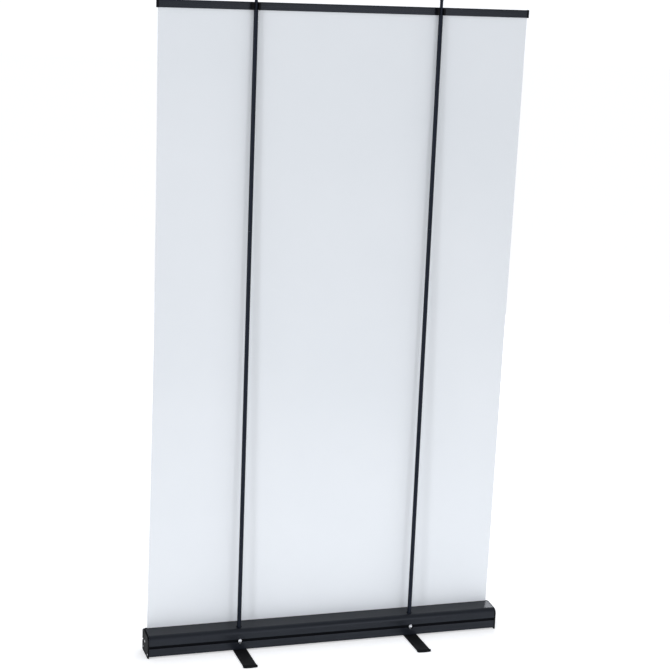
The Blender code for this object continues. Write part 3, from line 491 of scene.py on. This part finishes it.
def add_screw(name, seat, way, head, rise, shank, length):
    """A screw whose head lies on seat and faces way, with its cross recess cut in."""
    seat, way = Vector(seat), Vector(way)
    screw = add_round(name, shank, seat - way * length, seat, 32)
    crown = add_round("crown", head, seat, seat + way * rise, 40)
    only(crown)
    bpy.ops.object.mode_set(mode="EDIT")
    choose("FACE", lambda f: f.normal.dot(way) > 0.9)
    bpy.ops.mesh.inset(thickness=head * 0.22, depth=rise * 0.35)
    bpy.ops.mesh.inset(thickness=head * 0.30, depth=rise * 0.10)
    bpy.ops.object.mode_set(mode="OBJECT")
    join_with(screw, crown)
    across = Vector((1, 0, 0)) if abs(way.x) < 0.5 else Vector((0, 1, 0))
    along = way.cross(across)
    reach = head * 0.55
    half = head * 0.13
    deep = rise * 0.9
    middle = seat + way * (rise * 1.45)
    for first, second in ((across, along), (along, across)):
        span = first * reach + second * half + way * deep
        span = Vector([abs(value) for value in span])
        cut_with(screw, add_block("cross", middle - span, middle + span))
    ease_edges(screw, head * 0.04, 2, 30)
    return screw


for word, side in (("left", -1), ("right", 1)):
    for end in ("front", "rear"):
        node = f"cap_screw_{word}_{end}"
        low, high = (Vector(corner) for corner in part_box(node))
        middle = (low + high) / 2
        seat_x = (high.x if side > 0 else low.x) - side * CAP_SCREW_SEAT
        screw = add_screw(f"screw_{word}_{end}", (seat_x, middle.y, middle.z), (side, 0, 0),
                          head=0.0032, rise=0.0012, shank=0.0018, length=0.014)
        hand_over(screw, zinc, "base", "zinc", node)
    low, high = (Vector(corner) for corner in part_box(f"socket_screw_{word}"))
    middle = (low + high) / 2
    screw = add_screw(f"pole_screw_{word}", (middle.x, high.y - POLE_SCREW_SEAT, middle.z), (0, 1, 0),
                      head=0.0047, rise=0.0020, shank=0.0022, length=0.0135)
    plate = add_round(f"pole_screw_plate_{word}", PLATE_HALF_WIDTH, (middle.x, high.y - PLATE_BACK, middle.z),
                      (middle.x, high.y - PLATE_FACE, middle.z), 64)
    only(plate)
    bpy.ops.transform.resize(value=(1, 1, PLATE_HALF_HEIGHT / PLATE_HALF_WIDTH), center_override=middle)
    bpy.ops.object.transform_apply(location=True, rotation=True, scale=True)
    ease_edges(plate, 0.0002)
    hand_over(plate, zinc, "base", "zinc")
    hand_over(screw, zinc, "base", "zinc", f"socket_screw_{word}")


# ---------------------------------------------------------------- pole holes
# A moulded collar lines each hole in the cassette's rounded shoulder, where a pole drops in.
# It stands just proud of the skin and follows its slope.
COLLAR_WALL = 0.0022
COLLAR_REACH = 0.004
COLLAR_SLOPE = Vector((0, 0.30, 1)).normalized()
BORE_BELOW = 0.02
BORE_ABOVE = 0.04
shoulder_z = case_high[2] - 0.0095
rim_z = case_high[2] - 0.0022
for word, side in (("left", -1), ("right", 1)):
    x = side * pole_x
    collar = add_round(f"pole_collar_{word}", pole_radius + POLE_CLEARANCE + COLLAR_WALL,
                       (x, pole_y, shoulder_z - COLLAR_REACH), (x, pole_y, case_high[2] + COLLAR_REACH), 64)
    cut_with(collar, add_round("collar_bore", pole_radius + POLE_CLEARANCE,
                               (x, pole_y, shoulder_z - BORE_BELOW), (x, pole_y, shoulder_z + BORE_ABOVE), 64))
    only(collar)
    bpy.ops.object.mode_set(mode="EDIT")
    bpy.ops.mesh.select_all(action="SELECT")
    bpy.ops.mesh.bisect(plane_co=Vector((x, pole_y, rim_z)), plane_no=COLLAR_SLOPE,
                        clear_outer=True, use_fill=True)
    bpy.ops.object.mode_set(mode="OBJECT")
    ease_edges(collar, 0.0003)
    hand_over(collar, moulded, "base", "black_plastic")


# ---------------------------------------------------------------- banner film
# One blank sheet of matt polyester film, 0.4 mm thick, wound on the roller and drawn up through the
# slot to the rail. Its free edges curl a little towards the poles, as film kept on a roll does, and
# draw in a little at mid-height.
film_finish = vary(new_finish("white_film", (0.74, 0.77, 0.81), 0.5), 1.6,
                   (0.682, 0.706, 0.724), (0.716, 0.736, 0.752), (0.44, 0.56))
film_finish.node_tree.nodes["Principled BSDF"].inputs["Specular IOR Level"].default_value = 0.35
add_bump(film_finish, 1100, 0.05, 0.0002)
film_low, film_high = (Vector(corner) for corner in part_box("banner_film"))
rail_slide = next(joint for joint in frame["joints"] if joint["name"] == "rail_lower")
LEAN = math.asin(-rail_slide["axis"][1])
FILM_WIDTH = film_high.x - film_low.x
FILM_THICK = 0.0004
TUCK = 0.019                                # of film inside the rail
SLOT_TOP = Vector((0, film_y, case_high[2]))
INSIDE = SLOT_TOP.z - film_low.z
ABOVE = (film_high.z - SLOT_TOP.z) / math.cos(LEAN)
CURL_WIDTH = 0.16
# How far the +X and the -X edge curl, and how far each draws in at mid-height.
CURL_REACH = {1: 0.0030, -1: 0.0020}
WAIST = {1: 0.0045, -1: 0.0010}
RIPPLE = 0.0009
RIPPLE_ACROSS = 5.1
RIPPLE_UP = 2.2
ACROSS_START = 1.3
UP_START = 0.7

bpy.ops.object.select_all(action="DESELECT")
bpy.ops.mesh.primitive_grid_add(x_subdivisions=120, y_subdivisions=160, size=1)
film = bpy.context.object
film.name = "printed_film"
for point in film.data.vertices:
    across = point.co.x * FILM_WIDTH
    up = (point.co.y + 0.5) * (INSIDE + ABOVE) - INSIDE
    if up < 0:
        point.co = (across, film_y, SLOT_TOP.z + up)
        continue
    share = min(up / ABOVE, 1)
    loose = math.sin(math.pi * share)
    strip = max(0, abs(across) - (FILM_WIDTH / 2 - CURL_WIDTH)) / CURL_WIDTH
    side = 1 if across > 0 else -1
    proud = CURL_REACH[side] * loose * strip ** 2
    across -= side * WAIST[side] * loose * abs(across) / (FILM_WIDTH / 2)
    sideways = math.sin(RIPPLE_ACROSS * across + ACROSS_START)
    upwards = math.sin(RIPPLE_UP * up + UP_START)
    proud += RIPPLE * loose * sideways * upwards
    point.co = (across, film_y + up * math.sin(LEAN) + proud, SLOT_TOP.z + up * math.cos(LEAN))
only(film)
bpy.ops.object.mode_set(mode="EDIT")
bpy.ops.mesh.select_all(action="SELECT")
bpy.ops.mesh.normals_make_consistent(inside=False)
bpy.ops.object.mode_set(mode="OBJECT")
apply_modifier(film, "SOLIDIFY", thickness=FILM_THICK, offset=0, use_even_offset=False)
only(film)
bpy.ops.object.shade_smooth_by_angle(angle=math.radians(35))
hand_over(film, film_finish, "base", "film", "banner_film")
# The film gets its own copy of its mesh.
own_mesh(film)


# ---------------------------------------------------------------- top rail
# Two extruded aluminium halves snap together through the film's top edge. Each has three shallow lines
# along its face, and a moulded cap closes each end. The whole rail leans back with the film.
RAIL_FOOT = ABOVE - TUCK
RAIL_HEIGHT = 0.024
RAIL_HALF_DEPTH = 0.0050
RAIL_BEND = 0.0034
HALF_GAP = 0.0005                           # half of the gap that the film lies in
# How high on the rail each line starts and ends, and its depth.
RAIL_LINES = ((0.0030, 0.0038, 0.0005), (0.0105, 0.0125, 0.0008), (0.0180, 0.0186, 0.0004))
RAIL_CAP_LENGTH = 0.006
RAIL_CAP_PROUD = 0.0008
RAIL_CAP_MARGIN = 0.0006
RAIL_CAP_TOP_BEND = 0.0038
RAIL_CAP_FOOT_BEND = 0.0016
RAIL_CAP_RIM = 0.0012
RAIL_CAP_SINK = 0.0003
FILM_CLEARANCE = 0.0003
FILM_SLOT_LENGTH = 0.016
lean_back = Matrix.Translation(SLOT_TOP) @ Matrix.Rotation(-LEAN, 4, "X")
rail_half_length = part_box("rail_front")[1][0]
rail_end_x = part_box("rail_end_right")[1][0]

for word, side in (("front", -1), ("rear", 1)):
    near, far = sorted((side * HALF_GAP, side * RAIL_HALF_DEPTH))
    half = add_block(f"rail_{word}_half", (-rail_half_length, near, RAIL_FOOT),
                     (rail_half_length, far, RAIL_FOOT + RAIL_HEIGHT))
    only(half)
    bpy.ops.object.mode_set(mode="EDIT")
    for lower, upper, depth in RAIL_LINES:
        cut_at(2, RAIL_FOOT + lower)
        cut_at(2, RAIL_FOOT + upper)
    for lower, upper, depth in RAIL_LINES:
        choose("FACE", lambda f: f.normal.y * side > 0.9
               and lower < f.calc_center_median().z - RAIL_FOOT < upper)
        bpy.ops.mesh.extrude_region_move(TRANSFORM_OT_translate={"value": (0, -side * depth, 0)})
    choose("EDGE", edge_at(side * RAIL_HALF_DEPTH, RAIL_FOOT + RAIL_HEIGHT))
    round_chosen(RAIL_BEND, 8)
    bpy.ops.object.mode_set(mode="OBJECT")
    half.data.transform(lean_back)
    ease_edges(half, 0.00022)
    hand_over(half, anodised, "rail", "black_aluminium", f"rail_{word}")

for word, side in (("left", -1), ("right", 1)):
    edge = RAIL_HALF_DEPTH + RAIL_CAP_PROUD
    near, far = sorted((side * (rail_end_x - RAIL_CAP_LENGTH), side * rail_end_x))
    cap = add_block(f"rail_cap_{word}", (near, -edge, RAIL_FOOT - RAIL_CAP_MARGIN),
                    (far, edge, RAIL_FOOT + RAIL_HEIGHT + RAIL_CAP_MARGIN))
    only(cap)
    bpy.ops.object.mode_set(mode="EDIT")
    for y in (-edge, edge):
        choose("EDGE", edge_at(y, RAIL_FOOT + RAIL_HEIGHT + RAIL_CAP_MARGIN))
        round_chosen(RAIL_CAP_TOP_BEND, 8)
        choose("EDGE", edge_at(y, RAIL_FOOT - RAIL_CAP_MARGIN))
        round_chosen(RAIL_CAP_FOOT_BEND, 5)
    choose("FACE", lambda f: f.normal.x * side > 0.9)
    bpy.ops.mesh.dissolve_faces()
    bpy.ops.mesh.inset(thickness=RAIL_CAP_RIM, depth=0)
    bpy.ops.mesh.inset(thickness=RAIL_CAP_SINK, depth=-RAIL_CAP_SINK)
    bpy.ops.object.mode_set(mode="OBJECT")
    slot_near, slot_far = sorted((side * (rail_end_x - FILM_SLOT_LENGTH),
                                  side * (FILM_WIDTH / 2 + FILM_CLEARANCE)))
    cut_with(cap, add_block("film_slot", (slot_near, -HALF_GAP, RAIL_FOOT - OVERRUN),
                            (slot_far, HALF_GAP, RAIL_FOOT + TUCK + FILM_CLEARANCE)))
    cap.data.transform(lean_back)
    ease_edges(cap, 0.0003)
    hand_over(cap, moulded, "rail", "black_plastic", f"rail_end_{word}")


# ---------------------------------------------------------------- rail clips
# A moulded fork on the rail's rear face takes each pole's peg. Its mouth faces backwards and is wide
# enough for the pole to pass, and its outer edges are rounded over, the upper one most.
CLIP_WIDTH = 0.026
CLIP_NEAR = 0.0053
CLIP_FAR = 0.0220
CLIP_INSET = 0.0005
CLIP_TOP_BEND = 0.0035
CLIP_FOOT_BEND = 0.0018
MOUTH_LENGTH = 0.02
bore_foot = film_high.z - 0.04
bore_top = film_high.z + 0.03
for word, side in (("left", -1), ("right", 1)):
    x = side * pole_x
    clip = add_block(f"clip_{word}", (x - CLIP_WIDTH / 2, CLIP_NEAR, RAIL_FOOT + CLIP_INSET),
                     (x + CLIP_WIDTH / 2, CLIP_FAR, RAIL_FOOT + RAIL_HEIGHT - CLIP_INSET))
    only(clip)
    bpy.ops.object.mode_set(mode="EDIT")
    choose("EDGE", edge_at(CLIP_FAR, RAIL_FOOT + RAIL_HEIGHT - CLIP_INSET))
    round_chosen(CLIP_TOP_BEND, 8)
    choose("EDGE", edge_at(CLIP_FAR, RAIL_FOOT + CLIP_INSET))
    round_chosen(CLIP_FOOT_BEND, 5)
    bpy.ops.object.mode_set(mode="OBJECT")
    clip.data.transform(lean_back)
    mouth = pole_radius + POLE_CLEARANCE
    cut_with(clip, add_round("clip_bore", mouth, (x, pole_y, bore_foot), (x, pole_y, bore_top), 64))
    cut_with(clip, add_block("clip_mouth", (x - mouth, pole_y, bore_foot),
                             (x + mouth, pole_y + MOUTH_LENGTH, bore_top)))
    ease_edges(clip, 0.0006, 3)
    hand_over(clip, moulded, "rail", "black_plastic", f"rail_clip_{word}")


# ---------------------------------------------------------------- poles
# Each pole is three drawn aluminium tubes, anodised black, that plug together on inner ferrules. A
# slimmer turned peg stands in the top one, with a soft rounded cap, and passes through the rail's clip.
TUBE_WALL = 0.0010
PEG_RADIUS = 0.0050
PEG_SHANK_GAP = 0.0013                      # between the tube's outside and the peg's shank
PEG_SHOULDER_GAP = 0.0005
# Places on the peg, below or above the top of the tube.
PEG_FOOT = 0.001
SHANK_TOP = 0.0003
SHOULDER_FOOT = 0.0002
SHOULDER_TOP = 0.0015
CAP_BORE_RADIUS = 0.0053
CAP_BORE_DEPTH = 0.0063
CAP_DOME = 0.0038


def add_tube(name, radius, wall, middle, low, high):
    """An upright tube with its ends turned square."""
    tube = add_round(name, radius, (*middle, low), (*middle, high), 64)
    only(tube)
    bpy.ops.object.mode_set(mode="EDIT")
    choose("FACE", lambda f: abs(f.normal.z) > 0.9)
    bpy.ops.mesh.inset(thickness=wall, depth=0)
    bpy.ops.mesh.delete(type="FACE")
    shape = bmesh.from_edit_mesh(tube.data)
    for edge in shape.edges:
        edge.select_set(edge.is_boundary)
    bmesh.update_edit_mesh(tube.data)
    bpy.ops.mesh.select_mode(type="EDGE")
    bpy.ops.mesh.bridge_edge_loops()
    bpy.ops.mesh.select_all(action="SELECT")
    bpy.ops.mesh.normals_make_consistent(inside=False)
    bpy.ops.object.mode_set(mode="OBJECT")
    ease_edges(tube, 0.00018)
    return tube


tube_finish = vary(new_finish("black_tube", (0.005, 0.007, 0.013), 0.30), 14,
                   (0.0035, 0.0055, 0.0105), (0.0065, 0.0085, 0.0155), (0.26, 0.36), stretch=(8, 8, 0.4))
tube_finish.node_tree.nodes["Principled BSDF"].inputs["Specular IOR Level"].default_value = 0.15
tube_finish.node_tree.nodes["Principled BSDF"].inputs["Specular Tint"].default_value = (0.80, 0.88, 1.0, 1)
add_bump(tube_finish, 300, 0.08, 0.0003, stretch=(1, 1, 0.02))

for word, side in (("left", -1), ("right", 1)):
    centre = (side * pole_x, pole_y)
    for section in ("lower", "middle", "upper"):
        low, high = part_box(f"pole_{section}_{word}")
        tube = add_tube(f"tube_{section}_{word}", pole_radius, TUBE_WALL, centre, low[2], high[2])
        hand_over(tube, tube_finish, f"pole_{word}_{section}", "black_aluminium", f"pole_{section}_{word}")
    low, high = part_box(f"pole_peg_{word}")
    tube_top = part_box(f"pole_upper_{word}")[1][2]
    peg = add_round(f"peg_{word}", PEG_RADIUS, (*centre, tube_top - PEG_FOOT), (*centre, high[2]), 48)
    join_with(peg, add_round("peg_shank", pole_radius - PEG_SHANK_GAP, (*centre, low[2]),
                             (*centre, tube_top + SHANK_TOP), 48))
    join_with(peg, add_round("peg_shoulder", pole_radius - PEG_SHOULDER_GAP,
                             (*centre, tube_top + SHOULDER_FOOT), (*centre, tube_top + SHOULDER_TOP), 48))
    ease_edges(peg, 0.0002)
    hand_over(peg, tube_finish, f"pole_{word}_upper", "black_aluminium", f"pole_peg_{word}")
    low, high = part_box(f"pole_cap_{word}")
    outside = (high[0] - low[0]) / 2
    cap = add_round(f"peg_cap_{word}", outside, (*centre, low[2]), (*centre, high[2]), 48)
    only(cap)
    bpy.ops.object.mode_set(mode="EDIT")
    choose("EDGE", lambda e: all(v.co.z > high[2] - SNAP for v in e.verts))
    round_chosen(CAP_DOME, 10)
    bpy.ops.object.mode_set(mode="OBJECT")
    cut_with(cap, add_round("cap_bore", CAP_BORE_RADIUS, (*centre, low[2] - OVERRUN),
                            (*centre, low[2] + CAP_BORE_DEPTH), 48))
    ease_edges(cap, 0.0003)
    hand_over(cap, moulded, f"pole_{word}_upper", "black_plastic", f"pole_cap_{word}")


# ---------------------------------------------------------------- feet
# Two flat steel bars, powder coated black, swivel out from under the cassette on a bolt each. Their
# long upper edges are rounded over, and a moulded tip with a gently rounded nose covers each end.
powder = vary(new_finish("black_powder_coat", (0.007, 0.007, 0.008), 0.48), 30,
              (0.005, 0.005, 0.006), (0.010, 0.010, 0.011), (0.42, 0.56))
powder.node_tree.nodes["Principled BSDF"].inputs["Specular IOR Level"].default_value = 0.15
add_bump(powder, 700, 0.35, 0.0004)
BAR_BEND = 0.0016
BOLT_SEAT_RADIUS = 0.0072
BOLT_SEAT_DEPTH = 0.0029
BOLT_HOLE_RADIUS = 0.0036
NOSE_DEPTH = 0.006
NOSE_STEPS = 24
NOSE_FULLNESS = 0.6
TIP_CLEARANCE = 0.0003

for word, side in (("left", -1), ("right", 1)):
    x = side * pole_x
    low, high = (Vector(corner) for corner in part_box(f"foot_bar_{word}"))
    bar = add_block(f"bar_{word}", low, high)
    only(bar)
    bpy.ops.object.mode_set(mode="EDIT")
    choose("EDGE", lambda e: abs(e.verts[0].co.y - e.verts[1].co.y) > 0.1
           and all(v.co.z > high.z - SNAP for v in e.verts))
    round_chosen(BAR_BEND, 5)
    bpy.ops.object.mode_set(mode="OBJECT")
    cut_with(bar, add_round("bolt_seat", BOLT_SEAT_RADIUS, (x, 0, low.z - OVERRUN),
                            (x, 0, low.z + BOLT_SEAT_DEPTH), 48))
    cut_with(bar, add_round("bolt_hole", BOLT_HOLE_RADIUS, (x, 0, low.z - OVERRUN),
                            (x, 0, high.z + OVERRUN), 48))
    ease_edges(bar, 0.0004)
    hand_over(bar, powder, f"foot_{word}", "black_paint", f"foot_bar_{word}")
    for end, way in (("front", -1), ("rear", 1)):
        low_tip, high_tip = (Vector(corner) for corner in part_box(f"foot_tip_{word}_{end}"))
        tip = add_block(f"tip_{word}_{end}", low_tip, high_tip)
        nose = high_tip.y if way > 0 else low_tip.y
        only(tip)
        bpy.ops.object.mode_set(mode="EDIT")
        for step in range(1, NOSE_STEPS):
            cut_at(0, low_tip.x + (high_tip.x - low_tip.x) * step / NOSE_STEPS)
        bpy.ops.object.mode_set(mode="OBJECT")
        for point in tip.data.vertices:
            if abs(point.co.y - nose) < 2 * SNAP:
                share = abs(point.co.x - x) / ((high_tip.x - low_tip.x) / 2)
                round_nose = math.sqrt(max(0, 1 - share ** 2)) ** NOSE_FULLNESS
                point.co.y -= way * NOSE_DEPTH * (1 - round_nose)
        pocket_low = (low.x - TIP_CLEARANCE, low.y - TIP_CLEARANCE, low.z - TIP_CLEARANCE)
        pocket_high = (high.x + TIP_CLEARANCE, high.y + TIP_CLEARANCE, high.z + TIP_CLEARANCE)
        cut_with(tip, add_block("bar_pocket", pocket_low, pocket_high))
        ease_edges(tip, 0.0006, 3)
        hand_over(tip, moulded, f"foot_{word}", "black_plastic", f"foot_tip_{word}_{end}")


# ---------------------------------------------------------------- pieces inside
# Pieces that the cassette and the poles hide: the roller with the first turns of film, its plugs, pin,
# spring and square shaft, the pole sockets and plugs, the ferrules and the pivots. They are turned,
# drawn, wound or moulded, and keep the shapes that the frame gives them.
mill = vary(new_finish("mill_aluminium", (0.36, 0.37, 0.39), 0.45, 1.0), 20,
            (0.32, 0.33, 0.35), (0.40, 0.41, 0.43), (0.38, 0.54), stretch=(0.5, 8, 8))
add_bump(mill, 400, 0.10, 0.0002, stretch=(0.05, 1, 1))
wire = vary(new_finish("spring_wire", (0.25, 0.25, 0.27), 0.4, 1.0), 160,
            (0.18, 0.18, 0.20), (0.32, 0.32, 0.34), (0.30, 0.50))
add_bump(wire, 800, 0.15, 0.0002)


def refinish(material, *nodes):
    """Gives carried-over pieces a better material."""
    for node in nodes:
        frame["nodes"][node].material_slots[0].material = material


refinish(mill, "roller_tube")
refinish(film_finish, "leader_turns")
refinish(wire, "torsion_spring")
refinish(moulded, "roller_plug_left", "roller_plug_right", "spring_anchor")
refinish(zinc, "idle_pin", "spring_shaft")
for word in ("left", "right"):
    refinish(moulded, f"pole_socket_{word}", f"pole_foot_plug_{word}", f"pivot_spacer_{word}")
    refinish(zinc, f"pivot_bolt_{word}", f"pivot_washer_{word}", f"pivot_nut_{word}")
    refinish(mill, f"ferrule_middle_{word}", f"ferrule_upper_{word}")
